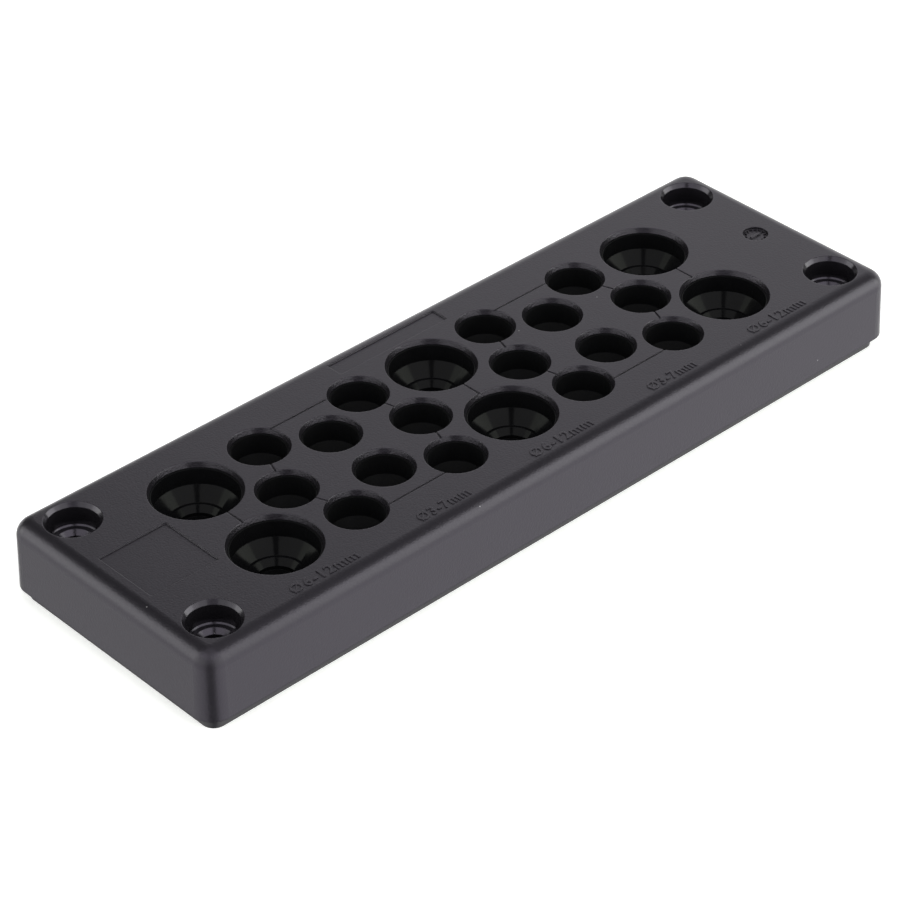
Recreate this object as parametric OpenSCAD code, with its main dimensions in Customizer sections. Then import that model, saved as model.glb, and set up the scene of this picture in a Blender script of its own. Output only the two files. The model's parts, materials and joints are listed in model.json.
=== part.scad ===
// Cable entry plate for a cabinet wall: a hard moulded cover, an elastomer seal mat and a panel gasket.
// The origin is at the centre of the gasket's lower face. X runs along the plate and Z points out of the wall.

/* [Fixing] */
// Distance of the fixing holes' axes past each end of the cut-out
fixing_end = 9; // [8:0.5:14]
// Spacing of the fixing holes across the plate
fixing_pitch_y = 32; // [30:0.5:40]
// Distance from a fixing hole's axis to the plate's lower edges
edge_margin = 7.25; // [6.8:0.05:9]
// Clearance hole for the fixing screw
screw_d = 4.5; // [3.4:0.1:5.2]
// Chamfer at the mouth of the screw hole
screw_chamfer = 0.75; // [0.2:0.05:0.8]
// Counterbore for the screw head
head_bore_d = 7.9; // [7:0.1:8.6]
// Depth of the counterbore below the top face
head_bore_depth = 4; // [3:0.1:5]
// Width of the chamfer at the counterbore's rim
head_chamfer = 0.5; // [0.2:0.05:0.8]
// Depth of the chamfer at the counterbore's rim
head_chamfer_depth = 0.7; // [0.3:0.05:1]
// Chamfer where the counterbore meets its floor
floor_chamfer = 0.25; // [0.1:0.05:0.3]
// Wall of the boss around the counterbore
boss_wall = 1.6; // [1.2:0.1:2.2]

/* [Cover] */
// Height of the cover from its lower edge to its top face
cover_h = 11.7; // [10.8:0.1:15]
// Thickness of the top wall
top_wall = 2.4; // [2:0.1:2.8]
// Thickness of the skirt at its lower edge
skirt_wall = 2.4; // [2:0.1:2.8]
// Lean of the outer walls, in degrees
draft = 1.9; // [0.5:0.1:3]
// Radius of the upright corners at the lower edge
corner_r = 3.5; // [3.3:0.1:6]
// Radius along the edges of the top face
top_edge_r = 2.75; // [1:0.05:2.9]
// Inner corner radius of the pockets
pocket_r = 2; // [1:0.1:3]
// Wall between the mat's pocket and each end pocket
rib_wall = 2; // [1.4:0.1:2.4]

/* [Mould date] */
// Distance of the mould-date recess from the plate's end
date_margin = 7.65; // [6.5:0.05:9]
// Diameter of the recess
date_d = 4.2; // [3:0.1:6]
// Depth of the recess
date_depth = 0.45; // [0.2:0.05:0.8]
// Width of the raised pointer in the recess
pointer_w = 0.5; // [0.3:0.05:0.8]

/* [Cable holes] */
// Rim diameter of a large cable hole
large_rim_d = 13.9; // [12.5:0.1:14.4]
// Rim diameter of a small cable hole
small_rim_d = 9.1; // [8:0.1:9.6]
// Height of the rim above the elastomer
rim_h = 0.9; // [0.6:0.05:1.2]
// How far the rim's wall leans out at the top face
rim_lean = 0.35; // [0.1:0.05:0.4]
// How far the collar's seat reaches out under the rim
collar_lap = 0.5; // [0.4:0.05:0.6]
// Distance of the outer pairs of large holes from the middle pair
large_pitch = 47.5; // [46.8:0.1:48.5]
// Distance of the large holes from the long centre line
large_y = 9; // [8.6:0.1:9.6]
// Distance of the centre of each group of small holes from the middle
group_x = 23.5; // [23.2:0.1:23.8]
// Corner holes of a group: distance along the plate from the group's centre
corner_dx = 10; // [9.6:0.1:10.4]
// Corner holes of a group: distance from the long centre line
corner_y = 11; // [10.6:0.1:11.6]
// Outer hole of a group: distance from the group's centre
outer_dx = 14; // [13.4:0.1:14.2]
// Inner hole of a group: distance from the group's centre
inner_dx = 13; // [12.4:0.1:13.2]
// Middle holes of a group: distance from the long centre line
middle_y = 6; // [5.6:0.1:6.2]

/* [Engraved lines] */
// Width of the engraved lines
line_w = 0.35; // [0.2:0.05:0.6]
// Depth of the engraved lines
line_depth = 0.2; // [0.1:0.05:0.4]
// Offset of a group's long lines from the corner holes' centres
line_offset = 2.3; // [0:0.1:3.5]

/* [Seal mat] */
// Step from the rim in to the elastomer's bore
bore_step = 0.25; // [0.15:0.05:0.4]
// Depth of the funnel's ledge below the top face
ledge_depth = 5.7; // [5.4:0.1:6.2]
// Width of the flat part of the ledge
ledge_w = 0.4; // [0.2:0.05:0.6]
// Throat of a large funnel
large_throat_d = 6.6; // [5.6:0.1:7.4]
// Throat of a small funnel
small_throat_d = 3.4; // [2.8:0.1:4]
// Width of the lead-in from the ledge to a large throat
large_lead = 1; // [0.5:0.05:1.1]
// Width of the lead-in from the ledge to a small throat
small_lead = 0.8; // [0.4:0.05:0.9]
// Depth of the lead-ins below the ledge
lead_h = 0.9; // [0.6:0.05:1.2]
// Depth of the membrane below the top face
membrane_depth = 7.2; // [6.9:0.1:7.6]
// Thickness of the membrane
membrane_t = 0.6; // [0.4:0.05:1]
// Wall of the sleeve around the throat
sleeve_wall = 1.4; // [1:0.1:1.8]
// Thickness of the mat between the sleeves
slab_t = 2.2; // [1.6:0.1:2.6]
// Thickness of the mat's hanging rim
mat_rim_wall = 2; // [1.4:0.1:2.2]
// Gap between the mat and the walls of its pocket and seats
seat_gap = 0.1; // [0.05:0.05:0.2]

/* [Panel gasket] */
// Thickness of the gasket
gasket_t = 2.3; // [1.5:0.1:4]
// How far the gasket's outline lies inside the skirt
gasket_inset = 1.45; // [0.8:0.05:1.8]
// Screw hole through the gasket
gasket_hole_d = 5; // [4.6:0.1:6]
// Length of the cut-out in the cabinet wall
cutout_l = 112; // [108:0.5:112]
// Width of the cut-out in the cabinet wall
cutout_w = 36; // [32:0.5:36]
// Margin of the gasket's opening around the cut-out
cutout_margin = 0.5; // [0:0.1:0.8]
// How far the mat's pocket reaches past the gasket's opening, at each end
pocket_lap = 2.5; // [2.3:0.1:2.8]

/* [Hidden] */
$fn = 96;
past = 1; // how far a cut runs past the face that it opens

fixing_pitch_x = cutout_l + 2 * fixing_end;
plate_l = fixing_pitch_x + 2 * edge_margin;
plate_w = fixing_pitch_y + 2 * edge_margin;
top_z = gasket_t + cover_h;
core_x = plate_l / 2 - corner_r;
core_y = plate_w / 2 - corner_r;
opening_l = cutout_l + 2 * cutout_margin;
opening_w = cutout_w + 2 * cutout_margin;
pocket_l = opening_l + 2 * pocket_lap;
pocket_w = plate_w - 2 * skirt_wall;
pocket_h = cover_h - top_wall;
end_pocket_x = pocket_l / 2 + rib_wall;
end_pocket_l = plate_l / 2 - skirt_wall - end_pocket_x;
boss_r = head_bore_d / 2 + boss_wall;
date_x = plate_l / 2 - date_margin;
slab_depth = top_wall + slab_t;
sleeve_depth = membrane_depth + membrane_t;

fixings = [for (x = [-1, 1], y = [-1, 1]) [x * fixing_pitch_x / 2, y * fixing_pitch_y / 2]];
large_holes = [for (x = [-large_pitch, 0, large_pitch], y = [-large_y, large_y]) [x, y]];
// A hole of a group, on the plate's side given by a sign
function in_group(side, dx, y) = [side * (group_x + dx), y];
small_holes = [
    for (side = [-1, 1], y = [-1, 1])
        each [
            in_group(side, corner_dx, y * corner_y),
            in_group(side, -corner_dx, y * corner_y),
            in_group(side, 0, y * middle_y)
        ],
    for (side = [-1, 1], dx = [outer_dx, -inner_dx]) in_group(side, dx, 0)
];

module rounded_rect(l, w, r) {
    square([l - 2 * r, w], center = true);
    square([l, w - 2 * r], center = true);
    for (x = [-1, 1], y = [-1, 1])
        translate([x * (l / 2 - r), y * (w / 2 - r)]) circle(r);
}

// Upright section of the cover's border, from the core outwards: leaning side and rounded top edge
module border_section() {
    round_z = cover_h - top_edge_r;
    round_x = corner_r - round_z * tan(draft) - top_edge_r / cos(draft);
    side_end = [round_x + top_edge_r * cos(draft), round_z + top_edge_r * sin(draft)];
    polygon([[0, 0], [corner_r, 0], side_end, [round_x, round_z], [round_x, cover_h], [0, cover_h]]);
    intersection() {
        translate([round_x, round_z]) circle(top_edge_r);
        translate([round_x, round_z]) square(top_edge_r + past);
    }
}

// Carries a section round the core: along each side and through each corner
module around_core() {
    for (turn = [0:3]) {
        reach = turn % 2 == 0 ? core_x : core_y;
        half = turn % 2 == 0 ? core_y : core_x;
        rotate([0, 0, 90 * turn]) translate([reach, half, 0]) {
            rotate([90, 0, 0]) linear_extrude(2 * half) children();
            rotate_extrude(angle = 90) children();
        }
    }
}

module cover_block() {
    translate([-core_x, -core_y, 0]) cube([2 * core_x, 2 * core_y, cover_h]);
    around_core() border_section();
}

// Pockets that core the cover out from below, with the screw bosses left standing
module cover_pockets() {
    translate([0, 0, -past]) linear_extrude(pocket_h + past) {
        rounded_rect(pocket_l, pocket_w, pocket_r);
        difference() {
            for (side = [-1, 1])
                translate([side * (end_pocket_x + end_pocket_l / 2), 0])
                    rounded_rect(end_pocket_l, pocket_w, pocket_r);
            for (at = fixings) translate(at) circle(boss_r);
        }
    }
}

// Stepped fixing hole, cut down from the top face at height 0
module fixing_hole() {
    head_r = head_bore_d / 2;
    screw_r = screw_d / 2;
    rotate_extrude() polygon([
        [0, past],
        [head_r + head_chamfer, past],
        [head_r + head_chamfer, 0],
        [head_r, -head_chamfer_depth],
        [head_r, floor_chamfer - head_bore_depth],
        [head_r - floor_chamfer, -head_bore_depth],
        [screw_r + screw_chamfer, -head_bore_depth],
        [screw_r, -head_bore_depth - screw_chamfer],
        [screw_r, -cover_h - past],
        [0, -cover_h - past]
    ]);
}

// Cable hole in the cover: the leaning rim, and under it the wider seat of the mat's collar
module rim_hole(rim_d) {
    rim_r = rim_d / 2;
    seat_r = rim_r + collar_lap;
    rotate_extrude() polygon([
        [0, past],
        [rim_r + rim_lean, past],
        [rim_r + rim_lean, 0],
        [rim_r, -rim_h],
        [seat_r, -rim_h],
        [seat_r, -top_wall - past],
        [0, -top_wall - past]
    ]);
}

// Engraved line between two points of the top face at height 0
module engraved(from, to) {
    run = to - from;
    translate(from) rotate([0, 0, atan2(run.y, run.x)])
        translate([0, -line_w / 2, -line_depth]) cube([norm(run), line_w, line_depth + past]);
}

// Lines that join the pairs of large holes and frame each group of small holes
module engraved_lines() {
    for (x = [-large_pitch, 0, large_pitch]) engraved([x, -large_y], [x, large_y]);
    for (side = [-1, 1], y = [-1, 1]) {
        outer = in_group(side, corner_dx, y * corner_y);
        inner = in_group(side, -corner_dx, y * corner_y);
        shift = [0, y * line_offset];
        engraved(outer + shift, inner + shift);
        engraved(outer, in_group(side, outer_dx, 0));
        engraved(inner, in_group(side, -inner_dx, 0));
    }
}

// Round recess with a raised pointer across its floor, cut down from the top face at height 0
module date_recess() {
    pointer_l = date_d / 2;
    difference() {
        translate([0, 0, -date_depth]) cylinder(d = date_d, h = date_depth + past);
        translate([-pointer_l / 2, -pointer_w / 2, -date_depth]) cube([pointer_l, pointer_w, date_depth / 2]);
    }
}

module cover() {
    color("#434146") translate([0, 0, gasket_t]) difference() {
        cover_block();
        cover_pockets();
        translate([0, 0, cover_h]) {
            for (at = fixings) translate(at) fixing_hole();
            for (at = large_holes) translate(at) rim_hole(large_rim_d);
            for (at = small_holes) translate(at) rim_hole(small_rim_d);
            engraved_lines();
            translate([date_x, 0]) date_recess();
        }
    }
}

// Inside of one funnel below the top face at height 0: bore, cone, ledge, lead-in and throat
module funnel_section(bore_r, throat_r, lead) {
    ledge_r = throat_r + lead + ledge_w;
    polygon([
        [0, 0],
        [bore_r, 0],
        [bore_r, bore_r - ledge_r - ledge_depth],
        [ledge_r, -ledge_depth],
        [throat_r + lead, -ledge_depth],
        [throat_r, -ledge_depth - lead_h],
        [throat_r, -membrane_depth],
        [0, -membrane_depth]
    ]);
}

// Collar and sleeve of one funnel, before its inside is cut, with the cover's top face at height 0
module funnel_body(rim_d, throat_d) {
    collar_r = rim_d / 2 + collar_lap - seat_gap;
    translate([0, 0, -slab_depth]) cylinder(r = collar_r, h = slab_depth - rim_h);
    translate([0, 0, -sleeve_depth])
        cylinder(r1 = throat_d / 2 + sleeve_wall, r2 = rim_d / 2, h = sleeve_depth - slab_depth);
}

module funnel_cut(rim_d, throat_d, lead) {
    rotate_extrude() funnel_section(rim_d / 2 - bore_step, throat_d / 2, lead);
}

module mat_outline(wall) {
    rounded_rect(pocket_l - 2 * (seat_gap + wall), pocket_w - 2 * (seat_gap + wall), pocket_r);
}

module seal_mat() {
    color("#141315") translate([0, 0, top_z]) difference() {
        union() {
            translate([0, 0, -slab_depth]) linear_extrude(slab_t) mat_outline(0);
            translate([0, 0, -cover_h]) linear_extrude(cover_h - top_wall) difference() {
                mat_outline(0);
                mat_outline(mat_rim_wall);
            }
            for (at = large_holes) translate(at) funnel_body(large_rim_d, large_throat_d);
            for (at = small_holes) translate(at) funnel_body(small_rim_d, small_throat_d);
        }
        for (at = large_holes) translate(at) funnel_cut(large_rim_d, large_throat_d, large_lead);
        for (at = small_holes) translate(at) funnel_cut(small_rim_d, small_throat_d, small_lead);
    }
}

module panel_gasket() {
    color("#39373c") linear_extrude(gasket_t) difference() {
        rounded_rect(plate_l - 2 * gasket_inset, plate_w - 2 * gasket_inset, corner_r - gasket_inset);
        rounded_rect(opening_l, opening_w, pocket_r);
        for (at = fixings) translate(at) circle(d = gasket_hole_d);
    }
}

cover();
seal_mat();
panel_gasket();
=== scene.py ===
"""Looks of a cable entry plate: its finishes, sunk blank fields, small raised marks and a plain studio."""

import json
import logging
import math
from collections import defaultdict
from dataclasses import dataclass
from enum import Enum
from typing import Any

import bmesh
import bpy
from mathutils import Matrix, Vector


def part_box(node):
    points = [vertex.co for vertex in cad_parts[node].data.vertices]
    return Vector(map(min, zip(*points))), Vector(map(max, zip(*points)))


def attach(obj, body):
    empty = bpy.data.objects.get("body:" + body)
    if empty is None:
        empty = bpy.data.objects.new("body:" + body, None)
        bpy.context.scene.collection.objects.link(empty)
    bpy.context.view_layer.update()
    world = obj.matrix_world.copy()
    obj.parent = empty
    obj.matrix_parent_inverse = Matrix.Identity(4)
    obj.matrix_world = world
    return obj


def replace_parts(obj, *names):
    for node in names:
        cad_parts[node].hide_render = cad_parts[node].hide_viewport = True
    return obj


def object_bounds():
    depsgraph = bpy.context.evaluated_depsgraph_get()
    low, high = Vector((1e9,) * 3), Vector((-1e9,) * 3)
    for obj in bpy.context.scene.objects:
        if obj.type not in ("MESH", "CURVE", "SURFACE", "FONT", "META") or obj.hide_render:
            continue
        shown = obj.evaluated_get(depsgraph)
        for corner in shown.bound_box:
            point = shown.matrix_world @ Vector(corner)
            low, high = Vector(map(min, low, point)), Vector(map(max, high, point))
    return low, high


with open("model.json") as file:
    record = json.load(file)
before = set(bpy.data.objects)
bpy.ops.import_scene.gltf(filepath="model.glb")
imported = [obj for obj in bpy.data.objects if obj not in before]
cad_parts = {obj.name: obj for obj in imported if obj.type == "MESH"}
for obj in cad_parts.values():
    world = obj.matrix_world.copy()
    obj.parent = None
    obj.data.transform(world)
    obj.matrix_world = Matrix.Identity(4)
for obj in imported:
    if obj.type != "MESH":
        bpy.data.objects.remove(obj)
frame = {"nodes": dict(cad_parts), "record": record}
CAD_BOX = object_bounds()

LOG = logging.getLogger("cable_entry_plate")
MM = 0.001
BODY = "root"
BOLTS = next(m for m in frame["record"]["mounts"] if m["name"] == "panel_screws")["dims"]
TOP_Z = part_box("cover")[1].z
SINK = 0.03 * MM  # how far a raised mark's foot is let into the top face
LEVEL = (1.0, 1.0, 0.0)  # keeps only the level part of a vector
PLAIN_WHITE = "#ffffff"
TUBE_WHITE = "#fafff4"  # the slight green of fluorescent tubes

Tree = bpy.types.NodeTree
Socket = bpy.types.NodeSocket


def linear(colour: str) -> tuple[float, float, float, float]:
    """Turns an sRGB hex colour to linear light.

    Args:
        colour: Hex colour such as "#2e2c30".
    Returns:
        Linear red, green, blue and an alpha of 1.
    """
    shares = [int(colour[i : i + 2], 16) / 255 for i in (1, 3, 5)]
    red, green, blue = [c / 12.92 if c <= 0.04045 else ((c + 0.055) / 1.055) ** 2.4 for c in shares]
    return red, green, blue, 1.0


def add_node(tree: Tree, kind: str, inputs: dict[Any, Any], **settings: Any) -> bpy.types.Node:
    """Adds a node, sets its properties, and fills or links its inputs.

    Args:
        tree: Node tree that gets the node.
        kind: Blender's name for the type of node.
        inputs: Value or output socket for each input, by its name or number.
        settings: Properties of the node itself.
    Returns:
        The new node.
    """
    node = tree.nodes.new(kind)
    for name, value in settings.items():
        setattr(node, name, value)
    for key, value in inputs.items():
        if isinstance(value, Socket):
            tree.links.new(value, node.inputs[key])
        else:
            node.inputs[key].default_value = value
    return node


def vectors(tree: Tree, operation: str, *values: Any) -> Socket:
    """Adds a node that reckons with vectors.

    Args:
        tree: Node tree that gets the node.
        operation: Blender's name for the operation.
        values: One or two vectors or sockets.
    Returns:
        Socket of the result, which is a number for a length or a distance.
    """
    node = add_node(tree, "ShaderNodeVectorMath", dict(enumerate(values)), operation=operation)
    return node.outputs["Value" if operation in ("LENGTH", "DISTANCE") else "Vector"]


def numbers(tree: Tree, operation: str, *values: Any) -> Socket:
    """Adds a node that reckons with numbers.

    Args:
        tree: Node tree that gets the node.
        operation: Blender's name for the operation.
        values: Two numbers or sockets.
    Returns:
        Socket of the result.
    """
    return add_node(tree, "ShaderNodeMath", dict(enumerate(values)), operation=operation).outputs[0]


def mix_colours(tree: Tree, share: Socket, first: Any, second: Any) -> Socket:
    """Mixes two colours.

    Args:
        tree: Node tree of the material.
        share: How much of the second colour is taken.
        first: Colour or socket.
        second: Colour or socket.
    Returns:
        Socket of the mixed colour.
    """
    return add_node(tree, "ShaderNodeMix", {0: share, 6: first, 7: second}, data_type="RGBA").outputs[2]


def mix_values(tree: Tree, share: Socket, first: Any, second: Any) -> Socket:
    """Mixes two numbers.

    Args:
        tree: Node tree of the material.
        share: How much of the second number is taken.
        first: Number or socket.
        second: Number or socket.
    Returns:
        Socket of the mixed number.
    """
    return add_node(tree, "ShaderNodeMix", {0: share, 2: first, 3: second}, data_type="FLOAT").outputs[0]


def noise(tree: Tree, place: Socket, cell_mm: float, detail: float) -> Socket:
    """Adds an even noise.

    Args:
        tree: Node tree of the material.
        place: Object coordinates.
        cell_mm: Size of the noise's coarsest grains.
        detail: Number of finer layers.
    Returns:
        Socket that wavers between 0 and 1.
    """
    inputs = {"Vector": place, "Scale": 1 / (cell_mm * MM), "Detail": detail}
    return add_node(tree, "ShaderNodeTexNoise", inputs).outputs["Fac"]


def spread(tree: Tree, value: Socket, middle: float, reach: float) -> Socket:
    """Maps a value between 0 and 1 to a range about a middle.

    Args:
        tree: Node tree of the material.
        value: Socket between 0 and 1.
        middle: Middle of the range.
        reach: Distance from the middle to either end.
    Returns:
        Socket of the mapped value.
    """
    inputs = {"Value": value, "To Min": middle - reach, "To Max": middle + reach}
    return add_node(tree, "ShaderNodeMapRange", inputs).outputs["Result"]


def soft_edges(tree: Tree, radius_mm: float, rays: int) -> Socket:
    """Adds the shading of blunted edges.

    Args:
        tree: Node tree of the material.
        radius_mm: Radius of the blunting.
        rays: Number of samples.
    Returns:
        Socket of the blunted normal.
    """
    return add_node(tree, "ShaderNodeBevel", {"Radius": radius_mm * MM}, samples=rays).outputs["Normal"]


def new_material(name: str) -> tuple[bpy.types.Material, Tree, bpy.types.Node]:
    """Starts a material that holds only a Principled shader and its output.

    Args:
        name: Name of the finish.
    Returns:
        The material, its node tree and the shader node.
    """
    material = bpy.data.materials.new(name)
    material.use_nodes = True
    tree = material.node_tree
    tree.nodes.clear()
    shader = add_node(tree, "ShaderNodeBsdfPrincipled", {})
    add_node(tree, "ShaderNodeOutputMaterial", {"Surface": shader.outputs["BSDF"]})
    return material, tree, shader


def new_piece(name: str, mesh: bpy.types.Mesh, material: bpy.types.Material) -> bpy.types.Object:
    """Puts a finished mesh in the scene as a piece of the plate.

    Args:
        name: Name of the piece.
        mesh: Mesh with its place in its points.
        material: Finish of the piece.
    Returns:
        The object, riding on the plate.
    """
    mesh.materials.clear()
    mesh.materials.append(material)
    piece = bpy.data.objects.new(name, mesh)
    bpy.context.scene.collection.objects.link(piece)
    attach(piece, BODY)
    LOG.info("%s: %d faces", name, len(mesh.polygons))
    return piece


def dress(node: str, material: bpy.types.Material) -> None:
    """Gives a CAD node its finish.

    Args:
        node: Name of the node.
        material: Finish to put in every material slot.
    """
    mesh = frame["nodes"][node].data
    mesh.materials.clear()
    mesh.materials.append(material)
    LOG.info("%s: %s", node, material.name)


@dataclass(frozen=True)
class SparkErodedPolyamide:
    """Black moulded polyamide from a spark-eroded mould, with polished screw counterbores.

    The erosion leaves a fine even matt grain that spreads light softly, so edges show as wide pale bands.
    The core pins of the counterbores were turned and polished, so those walls are smooth and reflect sharply.
    The walls of the cable holes come off cores that are smoother than the rest of the mould.
    No moulded edge is sharp: each is blunted a little, and catches a thin line of light.
    """

    name: str = "spark_eroded_black_polyamide"
    colour: str = "#141316"
    pale_colour: str = "#1a181c"
    gloss_tint: str = "#f2e9ff"
    dust_colour: str = "#8f8d90"
    grain_mm: float = 0.32  # coarser than the real grain of about 0.1 mm, so that it shows
    grain_depth_mm: float = 0.026
    grain_detail: float = 2.0
    cloud_mm: float = 11.0
    cloud_detail: float = 4.0
    matt: float = 0.36
    matt_spread: float = 0.05
    polish: float = 0.2
    polish_radius_mm: float = 4.55
    core_matt: float = 0.24
    core_facing: float = 0.6  # upward share of the normal, below which a face is a wall
    skirt_mm: float = 2.0  # margin at the plate's edges that belongs to the skirt
    polish_blend_mm: float = 0.12
    dust_cell_mm: float = 3.2
    dust_radius_mm: float = 0.09
    dust_share: float = 0.16
    edge_round_mm: float = 0.18
    edge_rays: int = 6
    refraction: float = 1.53

    def polish_mask(self, tree: Tree, place: Socket) -> Socket:
        """Finds how far a point lies from the nearest screw axis.

        Args:
            tree: Node tree of the material.
            place: Object coordinates.
        Returns:
            Socket that is 0 in the screw holes and 1 elsewhere.
        """
        axis = (BOLTS["spacing_x_mm"] / 2 * MM, BOLTS["spacing_y_mm"] / 2 * MM, 0.0)
        folded = vectors(tree, "ABSOLUTE", place)
        offset = vectors(tree, "SUBTRACT", folded, axis)
        away = vectors(tree, "LENGTH", vectors(tree, "MULTIPLY", offset, LEVEL))
        low = (self.polish_radius_mm - self.polish_blend_mm) * MM
        steps = {"Value": away, "From Min": low, "From Max": self.polish_radius_mm * MM}
        return add_node(tree, "ShaderNodeMapRange", steps).outputs["Result"]

    def core_mask(self, tree: Tree, place: Socket) -> Socket:
        """Finds the walls of the holes: they lie within the skirt and don't face upwards.

        Args:
            tree: Node tree of the material.
            place: Object coordinates.
        Returns:
            Socket that is 1 on the walls of the holes and 0 elsewhere.
        """
        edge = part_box("cover")[1]
        sides = add_node(tree, "ShaderNodeSeparateXYZ", {0: vectors(tree, "ABSOLUTE", place)})
        surface = add_node(tree, "ShaderNodeNewGeometry", {})
        rise = add_node(tree, "ShaderNodeSeparateXYZ", {0: surface.outputs["True Normal"]})
        tests = (
            (sides.outputs["X"], edge.x - self.skirt_mm * MM),
            (sides.outputs["Y"], edge.y - self.skirt_mm * MM),
            (rise.outputs["Z"], self.core_facing),
        )
        mask = 1.0
        for value, limit in tests:
            mask = numbers(tree, "MULTIPLY", mask, numbers(tree, "LESS_THAN", value, limit))
        return mask

    def dust_mask(self, tree: Tree, place: Socket) -> Socket:
        """Scatters a few specks of pale dust.

        Args:
            tree: Node tree of the material.
            place: Object coordinates.
        Returns:
            Socket that is 1 on a speck and 0 elsewhere.
        """
        scale = 1 / (self.dust_cell_mm * MM)
        cells = add_node(tree, "ShaderNodeTexVoronoi", {"Vector": place, "Scale": scale})
        speck = self.dust_radius_mm / self.dust_cell_mm
        near = numbers(tree, "LESS_THAN", cells.outputs["Distance"], speck)
        draw = add_node(tree, "ShaderNodeSeparateColor", {"Color": cells.outputs["Color"]})
        chosen = numbers(tree, "LESS_THAN", draw.outputs[0], self.dust_share)
        return numbers(tree, "MULTIPLY", near, chosen)

    def build(self) -> bpy.types.Material:
        """Builds the material and returns it."""
        material, tree, shader = new_material(self.name)
        place = add_node(tree, "ShaderNodeTexCoord", {}).outputs["Object"]
        rough_zone = self.polish_mask(tree, place)
        cloud = noise(tree, place, self.cloud_mm, self.cloud_detail)
        grain = noise(tree, place, self.grain_mm, self.grain_detail)
        colour = mix_colours(tree, cloud, linear(self.colour), linear(self.pale_colour))
        dusty = mix_colours(tree, self.dust_mask(tree, place), colour, linear(self.dust_colour))
        tree.links.new(dusty, shader.inputs["Base Color"])
        matt = spread(tree, grain, self.matt, self.matt_spread)
        moulded = mix_values(tree, self.core_mask(tree, place), matt, self.core_matt)
        rough = mix_values(tree, rough_zone, self.polish, moulded)
        tree.links.new(rough, shader.inputs["Roughness"])
        bump = add_node(
            tree,
            "ShaderNodeBump",
            {
                "Strength": rough_zone,
                "Distance": self.grain_depth_mm * MM,
                "Height": grain,
                "Normal": soft_edges(tree, self.edge_round_mm, self.edge_rays),
            },
        )
        tree.links.new(bump.outputs["Normal"], shader.inputs["Normal"])
        shader.inputs["IOR"].default_value = self.refraction
        shader.inputs["Specular Tint"].default_value = linear(self.gloss_tint)
        return material


@dataclass(frozen=True)
class PolishedElastomer:
    """Black thermoplastic elastomer from a polished mould.

    The surface is near black and wet-looking, with slow clouds of duller skin, so reflections are soft.
    Only the large funnels come off polished cores. The small ones are duller, so they send less light back.
    """

    colour: str = "#0b0b0c"
    bloom_colour: str = "#111113"
    gloss: float = 0.13
    gloss_spread: float = 0.03
    dull: float = 0.55
    sheen_share: float = 0.06  # a fine bloom on the soft skin takes away most of the mirror reflection
    cloud_mm: float = 2.6
    cloud_detail: float = 1.0
    polish_blend_mm: float = 0.2
    edge_round_mm: float = 0.15
    edge_rays: int = 6
    refraction: float = 1.5

    def dull_mask(self, tree: Tree, place: Socket) -> Socket:
        """Tells the large funnels from the rest, by the distance to their axes.

        Args:
            tree: Node tree of the material.
            place: Object coordinates.
        Returns:
            Socket that is 0 in the large funnels and 1 elsewhere.
        """
        openings = frame["record"]["physics"]["openings"]
        boxes = [o["box_m"] for o in openings if o["name"].startswith("large_cable")]
        axes = {tuple(round(abs(low[k] + high[k]) / 2, 5) for k in (0, 1)) for low, high in boxes}
        radius = max(high[0] - low[0] for low, high in boxes) / math.sqrt(2)
        flat = vectors(tree, "MULTIPLY", vectors(tree, "ABSOLUTE", place), LEVEL)
        nearest = radius * 2
        for x, y in sorted(axes):
            away = vectors(tree, "DISTANCE", flat, (x, y, 0.0))
            nearest = numbers(tree, "MINIMUM", nearest, away)
        steps = {"Value": nearest, "From Min": radius, "From Max": radius + self.polish_blend_mm * MM}
        return add_node(tree, "ShaderNodeMapRange", steps).outputs["Result"]

    def build(self) -> bpy.types.Material:
        """Builds the material and returns it."""
        material, tree, shader = new_material("polished_black_elastomer")
        place = add_node(tree, "ShaderNodeTexCoord", {}).outputs["Object"]
        cloud = noise(tree, place, self.cloud_mm, self.cloud_detail)
        gloss = spread(tree, cloud, self.gloss, self.gloss_spread)
        rough = mix_values(tree, self.dull_mask(tree, place), gloss, self.dull)
        tree.links.new(rough, shader.inputs["Roughness"])
        colour = mix_colours(tree, cloud, linear(self.colour), linear(self.bloom_colour))
        tree.links.new(colour, shader.inputs["Base Color"])
        edges = soft_edges(tree, self.edge_round_mm, self.edge_rays)
        tree.links.new(edges, shader.inputs["Normal"])
        shader.inputs["IOR"].default_value = self.refraction
        shader.inputs["Specular IOR Level"].default_value = self.sheen_share
        return material


@dataclass(frozen=True)
class MattElastomer:
    """Dark grey moulded sealing elastomer.

    A talc-dusted matt skin: flat, a little paler in clouds, with a fine pitted grain.
    """

    colour: str = "#1a181d"
    pale_colour: str = "#201e24"
    pit_mm: float = 0.5
    pit_depth_mm: float = 0.03
    pit_detail: float = 3.0
    matt: float = 0.42
    refraction: float = 1.5

    def build(self) -> bpy.types.Material:
        """Builds the material and returns it."""
        material, tree, shader = new_material("matt_sealing_elastomer")
        place = add_node(tree, "ShaderNodeTexCoord", {}).outputs["Object"]
        pits = noise(tree, place, self.pit_mm, self.pit_detail)
        colour = mix_colours(tree, pits, linear(self.colour), linear(self.pale_colour))
        tree.links.new(colour, shader.inputs["Base Color"])
        bump = add_node(tree, "ShaderNodeBump", {"Distance": self.pit_depth_mm * MM, "Height": pits})
        tree.links.new(bump.outputs["Normal"], shader.inputs["Normal"])
        shader.inputs["Roughness"].default_value = self.matt
        shader.inputs["IOR"].default_value = self.refraction
        return material


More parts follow.
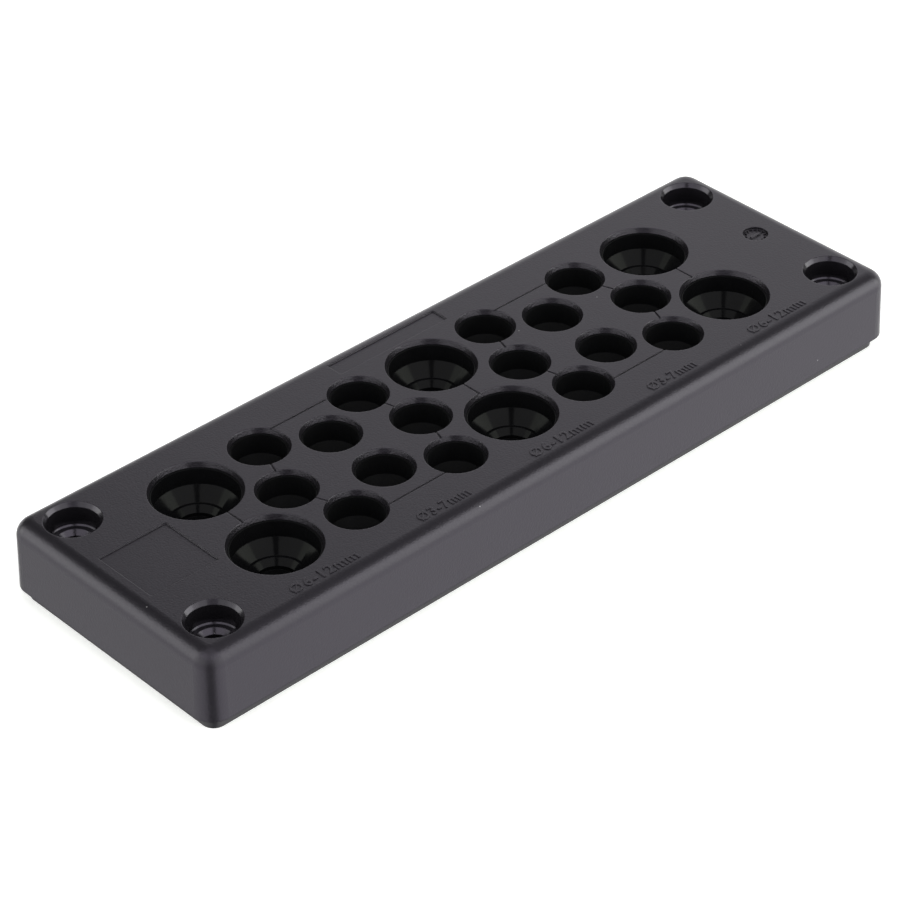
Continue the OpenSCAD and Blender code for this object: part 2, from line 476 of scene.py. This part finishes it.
@dataclass(frozen=True)
class OpalAcrylic:
    """White opal acrylic of a light table, lit a little from below, so that only a faint shadow is left."""

    colour: str = "#f7f7f7"
    matt: float = 0.95
    glow: float = 0.5

    def build(self) -> bpy.types.Material:
        """Builds the material and returns it."""
        material, _, shader = new_material("white_opal_acrylic")
        shader.inputs["Base Color"].default_value = linear(self.colour)
        shader.inputs["Roughness"].default_value = self.matt
        shader.inputs["Emission Color"].default_value = linear(self.colour)
        shader.inputs["Emission Strength"].default_value = self.glow
        return material


class SizeRange(Enum):
    """Plain cable-diameter ranges, raised beside the holes, with each mark's length in millimetres."""

    LARGE = ("Ø6-12mm", 12.5)
    SMALL = ("Ø3-7mm", 9.9)

    @property
    def text(self) -> str:
        """Characters of the mark."""
        return self.value[0]

    @property
    def length_mm(self) -> float:
        """Length of the mark."""
        return self.value[1]


@dataclass
class SizeMarks:
    """Row of raised size marks along the near edge of the top face."""

    row_y_mm: float = -19.0
    cap_height_mm: float = 1.95
    raise_mm: float = 0.13
    edge_mm: float = 0.05
    edge_steps: int = 1
    curve_steps: int = 4
    cap_share: float = 0.729  # cap height of the built-in letters as a share of their size
    spacing: float = 1.12
    places_mm: tuple[tuple[float, SizeRange], ...] = (
        (-46.8, SizeRange.LARGE),
        (-23.5, SizeRange.SMALL),
        (0.8, SizeRange.LARGE),
        (24.8, SizeRange.SMALL),
        (48.8, SizeRange.LARGE),
    )

    def mark_mesh(self, size: SizeRange) -> bpy.types.Mesh:
        """Makes one raised mark, centred at the origin.

        Args:
            size: Cable range that the mark gives.
        Returns:
            Mesh of narrow letters, drawn in to the mark's length.
        """
        curve = bpy.data.curves.new("mark", "FONT")
        curve.body = size.text
        curve.align_x = "CENTER"
        curve.align_y = "CENTER"
        curve.space_character = self.spacing
        curve.size = self.cap_height_mm * MM / self.cap_share
        curve.extrude = (self.raise_mm * MM + SINK) / 2 - self.edge_mm * MM
        curve.bevel_depth = self.edge_mm * MM
        curve.bevel_resolution = self.edge_steps
        curve.resolution_u = self.curve_steps
        holder = bpy.data.objects.new("mark", curve)
        bpy.context.scene.collection.objects.link(holder)
        graph = bpy.context.evaluated_depsgraph_get()
        mesh = bpy.data.meshes.new_from_object(holder.evaluated_get(graph))
        narrow = size.length_mm * MM / holder.dimensions.x
        mesh.transform(Matrix.Diagonal((narrow, 1.0, 1.0, 1.0)))
        bpy.data.objects.remove(holder)
        bpy.data.curves.remove(curve)
        return mesh

    def build(self, material: bpy.types.Material) -> None:
        """Makes every mark and puts it on the top face.

        Args:
            material: Finish of the cover's marks.
        """
        for number, (x, size) in enumerate(self.places_mm, 1):
            mesh = self.mark_mesh(size)
            middle_z = TOP_Z + (self.raise_mm * MM - SINK) / 2
            mesh.transform(Matrix.Translation((x * MM, self.row_y_mm * MM, middle_z)))
            new_piece(f"size_mark_{number}", mesh, material)


@dataclass(frozen=True)
class MarkingField:
    """Blank field that is sunk a little into the top face, with drafted walls."""

    centre_mm: tuple[float, float]
    size_mm: tuple[float, float]
    depth_mm: float = 0.25
    draft_mm: float = 0.04
    corner_mm: float = 0.3
    corner_steps: int = 6

    def ring(self, grow_mm: float, height: float) -> list[Vector]:
        """Traces the field's outline.

        Args:
            grow_mm: How far the ring lies outside the field's floor.
            height: Height of the ring.
        Returns:
            Points of the closed ring.
        """
        radius = self.corner_mm + grow_mm
        half = [side / 2 - self.corner_mm for side in self.size_mm]
        points = []
        for step in range(4 * (self.corner_steps + 1)):
            corner, part = divmod(step, self.corner_steps + 1)
            turn = math.radians(90 * corner + 90 * part / self.corner_steps)
            sign_x = 1 if corner in (0, 3) else -1
            sign_y = 1 if corner in (0, 1) else -1
            x = self.centre_mm[0] + sign_x * half[0] + radius * math.cos(turn)
            y = self.centre_mm[1] + sign_y * half[1] + radius * math.sin(turn)
            points.append(Vector((x * MM, y * MM, height)))
        return points

    def add_hollow(self, shape: bmesh.types.BMesh) -> None:
        """Adds the body that hollows the field out, from its floor to as far above the top face.

        Args:
            shape: Mesh of everything that is cut away.
        """
        depth = self.depth_mm * MM
        floor = [shape.verts.new(p) for p in self.ring(0.0, TOP_Z - depth)]
        mouth = [shape.verts.new(p) for p in self.ring(2 * self.draft_mm, TOP_Z + depth)]
        for i, corner in enumerate(floor):
            j = (i + 1) % len(floor)
            shape.faces.new((corner, floor[j], mouth[j], mouth[i]))
        shape.faces.new(floor)
        shape.faces.new(mouth)


@dataclass
class EngravedCover:
    """The moulded cover with its blank marking fields sunk into the top face."""

    fields: tuple[MarkingField, ...] = (
        MarkingField((-61.85, 0.0), (12.4, 12.2)),
        MarkingField((-0.6, 18.5), (22.5, 3.3)),
    )
    crease_deg: float = 25.0  # most that a face may turn from the moulding's and still be shaded as it
    weld_mm: float = 0.001

    def holder(self, name: str, shape: bmesh.types.BMesh) -> bpy.types.Object:
        """Puts a worked mesh in a passing object.

        Args:
            name: Name of the object.
            shape: Mesh, which is freed.
        Returns:
            The object.
        """
        mesh = bpy.data.meshes.new(name)
        shape.to_mesh(mesh)
        shape.free()
        holder = bpy.data.objects.new(name, mesh)
        bpy.context.scene.collection.objects.link(holder)
        return holder

    def corner_normals(self, mesh: bpy.types.Mesh) -> list[Vector]:
        """Finds how each face corner is shaded: as on the uncut moulding where it has that corner, else flat.

        Args:
            mesh: Mesh of the cut cover.
        Returns:
            One normal for each face corner.
        """
        moulding = frame["nodes"]["cover"].data
        known = defaultdict(list)
        for face in moulding.polygons:
            for k in face.loop_indices:
                place = self.grid_place(moulding, k)
                known[place].append((face.normal.copy(), moulding.corner_normals[k].vector.copy()))
        normals = [Vector()] * len(mesh.loops)
        strays = 0
        for face in mesh.polygons:
            for k in face.loop_indices:
                near = known.get(self.grid_place(mesh, k), [])
                flat, shaded = max(near, key=lambda pair: pair[0].dot(face.normal), default=(None, None))
                angle = math.pi if flat is None else flat.angle(face.normal, math.pi)
                same_face = angle < math.radians(self.crease_deg)
                normals[k] = shaded if same_face else face.normal.copy()
                strays += not same_face
        LOG.info("face corners shaded flat: %d of %d", strays, len(normals))
        return normals

    def grid_place(self, mesh: bpy.types.Mesh, corner: int) -> tuple[int, ...]:
        """Gives the place of a face corner in steps of the welding distance.

        Args:
            mesh: Mesh that has the corner.
            corner: Number of the face corner.
        Returns:
            Whole steps along each axis.
        """
        place = mesh.vertices[mesh.loops[corner].vertex_index].co
        return tuple(round(value / (self.weld_mm * MM)) for value in place)

    def build(self, material: bpy.types.Material) -> None:
        """Welds a copy of the cover, cuts the fields into it and lets it stand for the cover.

        Args:
            material: Finish of the cover.
        """
        moulding = bmesh.new()
        moulding.from_mesh(frame["nodes"]["cover"].data)
        bmesh.ops.remove_doubles(moulding, verts=moulding.verts, dist=self.weld_mm * MM)
        cover = self.holder("welded_cover", moulding)
        hollows = bmesh.new()
        for field in self.fields:
            field.add_hollow(hollows)
        bmesh.ops.recalc_face_normals(hollows, faces=hollows.faces)
        cutter = self.holder("field_hollows", hollows)
        cut = cover.modifiers.new("sunk_fields", "BOOLEAN")
        cut.operation = "DIFFERENCE"
        cut.solver = "EXACT"
        cut.object = cutter
        graph = bpy.context.evaluated_depsgraph_get()
        mesh = bpy.data.meshes.new_from_object(cover.evaluated_get(graph))
        mesh.shade_smooth()
        mesh.normals_split_custom_set(self.corner_normals(mesh))
        bpy.data.objects.remove(cover)
        bpy.data.objects.remove(cutter)
        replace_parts(new_piece("engraved_cover", mesh, material), "cover")


@dataclass
class MouldDateDial:
    """Ring of raised ticks and an arrow head in the round mould-date recess."""

    end_margin_mm: float = 7.65
    depth_mm: float = 0.45
    tick_count: int = 12
    ring_radius_mm: float = 1.6
    tick_length_mm: float = 0.5
    tick_width_mm: float = 0.18
    tick_height_mm: float = 0.25
    tick_top_radius: float = 0.35  # of a tick whose foot is a square of side 1
    arrow_mm: float = 0.9
    arrow_top_share: float = 0.75
    arrow_place_share: float = 1 / 3  # how far out on the ring's radius the arrow head lies

    def tick_tree(self, material: bpy.types.Material) -> Tree:
        """Builds the node tree that sets drafted ticks in a ring.

        Args:
            material: Finish of the ticks.
        Returns:
            Geometry node tree with the ring's sizes as named inputs.
        """
        tree = bpy.data.node_groups.new("tick_ring", "GeometryNodeTree")
        face = tree.interface
        face.new_socket("Ticks", in_out="OUTPUT", socket_type="NodeSocketGeometry")
        face.new_socket("Count", in_out="INPUT", socket_type="NodeSocketInt")
        for name in ("Ring Radius", "Tick Length", "Tick Width", "Tick Height"):
            face.new_socket(name, in_out="INPUT", socket_type="NodeSocketFloat")
        face.new_socket("Centre", in_out="INPUT", socket_type="NodeSocketVector")
        sizes = add_node(tree, "NodeGroupInput", {}).outputs
        circle = {"Vertices": sizes["Count"], "Radius": sizes["Ring Radius"]}
        ring = add_node(tree, "GeometryNodeMeshCircle", circle)
        cone = {
            "Vertices": 4,
            "Radius Top": self.tick_top_radius,
            "Radius Bottom": math.sqrt(2) / 2,
            "Depth": sizes["Tick Height"],
        }
        tick = add_node(tree, "GeometryNodeMeshCone", cone).outputs["Mesh"]
        square = add_node(tree, "GeometryNodeTransform", {0: tick, "Rotation": (0.0, 0.0, math.pi / 4)})
        stretch = add_node(
            tree, "ShaderNodeCombineXYZ", {0: sizes["Tick Length"], 1: sizes["Tick Width"], 2: 1.0}
        )
        shaped = add_node(
            tree, "GeometryNodeTransform", {0: square.outputs[0], "Scale": stretch.outputs[0]}
        )
        index = add_node(tree, "GeometryNodeInputIndex", {})
        angle = numbers(tree, "MULTIPLY", index.outputs[0], numbers(tree, "DIVIDE", math.tau, sizes["Count"]))
        turn = add_node(tree, "ShaderNodeCombineXYZ", {2: angle})
        placed = add_node(
            tree,
            "GeometryNodeInstanceOnPoints",
            {"Points": ring.outputs[0], "Instance": shaped.outputs[0], "Rotation": turn.outputs[0]},
        )
        moved = add_node(
            tree, "GeometryNodeTransform", {0: placed.outputs[0], "Translation": sizes["Centre"]}
        )
        solid = add_node(tree, "GeometryNodeRealizeInstances", {0: moved.outputs[0]})
        dressed = add_node(tree, "GeometryNodeSetMaterial", {0: solid.outputs[0], "Material": material})
        add_node(tree, "NodeGroupOutput", {0: dressed.outputs[0]})
        return tree

    def tick_mesh(self, material: bpy.types.Material, centre: Vector) -> bpy.types.Mesh:
        """Runs the tick tree and keeps its result as a plain mesh.

        Args:
            material: Finish of the ticks.
            centre: Middle of the recess's floor.
        Returns:
            Mesh of all the ticks.
        """
        holder = bpy.data.objects.new("ticks", bpy.data.meshes.new("ticks"))
        bpy.context.scene.collection.objects.link(holder)
        tree = self.tick_tree(material)
        modifier = holder.modifiers.new("ticks", "NODES")
        modifier.node_group = tree
        values = {
            "Count": self.tick_count,
            "Ring Radius": self.ring_radius_mm * MM,
            "Tick Length": self.tick_length_mm * MM,
            "Tick Width": self.tick_width_mm * MM,
            "Tick Height": self.tick_height_mm * MM,
            "Centre": tuple(centre),
        }
        for item in tree.interface.items_tree:
            if item.in_out == "INPUT":
                modifier[item.identifier] = values[item.name]
        graph = bpy.context.evaluated_depsgraph_get()
        mesh = bpy.data.meshes.new_from_object(holder.evaluated_get(graph))
        bpy.data.objects.remove(holder)
        return mesh

    def arrow_mesh(self, centre: Vector) -> bpy.types.Mesh:
        """Makes the arrow head at the end of the recess's pointer.

        Args:
            centre: Middle of the recess's floor.
        Returns:
            Mesh of a triangular prism with leaning sides.
        """
        shape = bmesh.new()
        rings = []
        for share, height in ((1.0, 0.0), (self.arrow_top_share, self.tick_height_mm * MM)):
            corners = [math.radians(120 * k) for k in range(3)]
            reach = self.arrow_mm / 2 * share * MM
            tip = Vector((self.ring_radius_mm * self.arrow_place_share * MM, 0, height))
            ring = [centre + tip + Vector((reach * math.cos(a), reach * math.sin(a), 0)) for a in corners]
            rings.append([shape.verts.new(p) for p in ring])
        for i in range(3):
            j = (i + 1) % 3
            shape.faces.new((rings[0][i], rings[0][j], rings[1][j], rings[1][i]))
        shape.faces.new(rings[0])
        shape.faces.new(rings[1])
        bmesh.ops.recalc_face_normals(shape, faces=shape.faces)
        mesh = bpy.data.meshes.new("date_arrow")
        shape.to_mesh(mesh)
        shape.free()
        return mesh

    def build(self, material: bpy.types.Material) -> None:
        """Makes the ticks and the arrow head.

        Args:
            material: Finish of the cover's marks.
        """
        end_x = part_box("cover")[1].x
        floor = Vector((end_x - self.end_margin_mm * MM, 0.0, TOP_Z - self.depth_mm * MM - SINK))
        new_piece("date_ticks", self.tick_mesh(material, floor), material)
        new_piece("date_arrow", self.arrow_mesh(floor), material)


def around(azimuth_deg: float, elevation_deg: float) -> Vector:
    """Gives the direction from the plate to a viewer, where azimuth 0 stands on the -Y side.

    Args:
        azimuth_deg: Angle about Z.
        elevation_deg: Angle above the horizon.
    Returns:
        Direction of length 1.
    """
    azimuth = math.radians(azimuth_deg)
    elevation = math.radians(elevation_deg)
    level = math.cos(elevation)
    return Vector((math.sin(azimuth) * level, -math.cos(azimuth) * level, math.sin(elevation)))


def facing(place: Vector, target: Vector, roll_rad: float) -> Matrix:
    """Makes the placing of a camera or lamp that looks at a point.

    Args:
        place: Where it stands.
        target: Point that it looks at.
        roll_rad: Turn about its own line of sight.
    Returns:
        World matrix.
    """
    turn = (target - place).to_track_quat("-Z", "Y").to_matrix().to_4x4()
    return Matrix.Translation(place) @ turn @ Matrix.Rotation(roll_rad, 4, "Z")


@dataclass(frozen=True)
class LightWall:
    """Upright flat light that stands round the plate, with its edges given as angles seen from the plate."""

    name: str
    faces_deg: float  # where it squarely faces the plate, as a turn from the camera's own azimuth
    turn_deg: tuple[float, float]  # its left and right edge, as turns from the camera's own azimuth
    rise_deg: tuple[float, float]  # its lower and upper edge above the horizon, seen squarely
    radiance: float
    tint: str = PLAIN_WHITE
    distance_mm: float = 1000.0

    def build(self, camera_azimuth_deg: float, target: Vector) -> None:
        """Stands the wall up.

        Args:
            camera_azimuth_deg: Azimuth of the camera.
            target: Point that the angles are measured from.
        """
        distance = self.distance_mm * MM
        left, right = [distance * math.tan(math.radians(turn - self.faces_deg)) for turn in self.turn_deg]
        low, high = [distance * math.tan(math.radians(rise)) for rise in self.rise_deg]
        lamp = bpy.data.lights.new(self.name, "AREA")
        lamp.shape = "RECTANGLE"
        lamp.size = right - left
        lamp.size_y = high - low
        lamp.energy = self.radiance * math.pi * lamp.size * lamp.size_y
        lamp.color = linear(self.tint)[:3]
        holder = bpy.data.objects.new(self.name, lamp)
        bpy.context.scene.collection.objects.link(holder)
        azimuth = camera_azimuth_deg + self.faces_deg
        outwards = around(azimuth, 0.0) * distance
        sideways = around(azimuth + 90, 0.0) * (left + right) / 2
        middle = target + sideways + Vector((0.0, 0.0, (low + high) / 2))
        holder.matrix_world = facing(middle + outwards, middle, 0.0)
        holder.visible_camera = False


@dataclass
class Studio:
    """Camera at the photograph's viewing angle, light walls, a ceiling light and a white light table."""

    camera_azimuth_deg: float = -43.13
    camera_elevation_deg: float = 34.74
    camera_distance_mm: float = 506.6
    aim_mm: tuple[float, float] = (-13.4, -9.6)
    roll_rad: float = -0.0125
    lens_mm: float = 131.38
    sensor_mm: float = 36.0
    nearest_mm: float = 10.0  # what lies nearer to the camera isn't drawn
    floor_mm: float = 6000.0
    surround_tint: str = PLAIN_WHITE
    surround_strength: float = 0.1  # as a light, and not as the camera sees it
    ceiling_deg: float = 20.0  # from straight above to the middle of an edge, seen from the plate
    ceiling_radiance: float = 0.7
    walls: tuple[LightWall, ...] = (
        LightWall("right_panel", 40.0, (76.0, 115.0), (-2.0, 55.0), 4.0, TUBE_WHITE),
        LightWall("left_panel", -40.0, (-115.0, -76.0), (-2.0, 55.0), 2.95, TUBE_WHITE),
        LightWall("right_near_panel", 40.0, (52.0, 76.0), (-2.0, 40.0), 2.2, TUBE_WHITE),
        LightWall("left_near_panel", -40.0, (-76.0, -52.0), (-2.0, 40.0), 1.65, TUBE_WHITE),
        LightWall("right_wing", 40.0, (20.0, 52.0), (-2.0, 40.0), 1.7, TUBE_WHITE),
        LightWall("left_wing", -40.0, (-52.0, -20.0), (-2.0, 40.0), 1.3, TUBE_WHITE),
        LightWall("right_top", 40.0, (9.0, 76.0), (40.0, 66.0), 1.9),
        LightWall("left_top", -40.0, (-76.0, -9.0), (40.0, 66.0), 1.55),
        LightWall("front_wall", 0.0, (-20.0, 20.0), (8.0, 40.0), 0.5),
        LightWall("right_board", 50.0, (21.0, 125.0), (-60.0, -2.0), 1.45),
        LightWall("left_board", -50.0, (-125.0, -21.0), (-60.0, -2.0), 1.05),
        LightWall("back_wall", 172.0, (126.0, 197.0), (0.0, 44.0), 1.0),
        LightWall("back_board", 178.0, (128.0, 228.0), (-60.0, 0.0), 1.6),
    )

    def place_camera(self) -> None:
        """Sets up the camera, aimed at a point of the top face."""
        centre = Vector((0.0, 0.0, TOP_Z))
        direction = around(self.camera_azimuth_deg, self.camera_elevation_deg)
        place = centre + direction * self.camera_distance_mm * MM
        aim = centre + Vector((self.aim_mm[0] * MM, self.aim_mm[1] * MM, 0.0))
        data = bpy.data.cameras.new("camera")
        data.sensor_width = self.sensor_mm
        data.lens = self.lens_mm
        data.clip_start = self.nearest_mm * MM
        camera = bpy.data.objects.new("camera", data)
        bpy.context.scene.collection.objects.link(camera)
        camera.matrix_world = facing(place, aim, self.roll_rad)
        bpy.context.scene.camera = camera

    def lay_floor(self) -> None:
        """Lays the light table under the plate."""
        half = self.floor_mm * MM / 2
        shape = bmesh.new()
        level = CAD_BOX[0][2]
        signs = ((-1, -1), (1, -1), (1, 1), (-1, 1))
        shape.faces.new([shape.verts.new((x * half, y * half, level)) for x, y in signs])
        mesh = bpy.data.meshes.new("light_table")
        shape.to_mesh(mesh)
        shape.free()
        mesh.materials.append(OpalAcrylic().build())
        floor = bpy.data.objects.new("light_table", mesh)
        bpy.context.scene.collection.objects.link(floor)
        floor.visible_glossy = False
        floor.visible_shadow = False

    def hang_ceiling(self) -> None:
        """Hangs a soft square light straight above the plate."""
        height = LightWall.distance_mm * MM
        lamp = bpy.data.lights.new("ceiling", "AREA")
        lamp.size = 2 * height * math.tan(math.radians(self.ceiling_deg))
        lamp.energy = self.ceiling_radiance * math.pi * lamp.size**2
        holder = bpy.data.objects.new("ceiling", lamp)
        bpy.context.scene.collection.objects.link(holder)
        holder.location = (0.0, 0.0, TOP_Z + height)
        holder.visible_camera = False

    def surround(self) -> None:
        """Makes the surroundings white to look at, and dim as a light."""
        world = bpy.data.worlds.new("pale_studio")
        world.use_nodes = True
        tree = world.node_tree
        seen = add_node(tree, "ShaderNodeLightPath", {}).outputs["Is Camera Ray"]
        steps = {"Value": seen, "To Min": self.surround_strength, "To Max": 1.0}
        strength = add_node(tree, "ShaderNodeMapRange", steps)
        sky = tree.nodes["Background"]
        sky.inputs["Color"].default_value = linear(self.surround_tint)
        tree.links.new(strength.outputs["Result"], sky.inputs["Strength"])
        bpy.context.scene.world = world

    def light(self) -> None:
        """Stands up the light walls under the ceiling, and sets the surroundings."""
        self.surround()
        self.hang_ceiling()
        for wall in self.walls:
            wall.build(self.camera_azimuth_deg, Vector((0.0, 0.0, TOP_Z)))
        bpy.context.scene.view_settings.view_transform = "Standard"

    def build(self) -> None:
        """Sets up the camera, the floor and the lights."""
        self.place_camera()
        self.lay_floor()
        self.light()


@dataclass
class CableEntryPlate:
    """The plate: finishes for the three mouldings, and the cover's sunk fields and small raised marks."""

    cover_finish: SparkErodedPolyamide = SparkErodedPolyamide()
    mark_finish: SparkErodedPolyamide = SparkErodedPolyamide(
        "crisp_marks_in_black_polyamide", edge_round_mm=0.06
    )
    mat_finish: PolishedElastomer = PolishedElastomer()
    gasket_finish: MattElastomer = MattElastomer()

    def build(self) -> None:
        """Sinks the cover's fields, dresses the CAD nodes and adds the marks."""
        EngravedCover().build(self.cover_finish.build())
        dress("seal_mat", self.mat_finish.build())
        dress("panel_gasket", self.gasket_finish.build())
        crisp = self.mark_finish.build()
        SizeMarks().build(crisp)
        MouldDateDial().build(crisp)


def main() -> None:
    """Builds the plate and its studio."""
    logging.basicConfig(level=logging.INFO, format="%(name)s: %(message)s")
    CableEntryPlate().build()
    Studio().build()


if __name__ == "__main__":
    main()
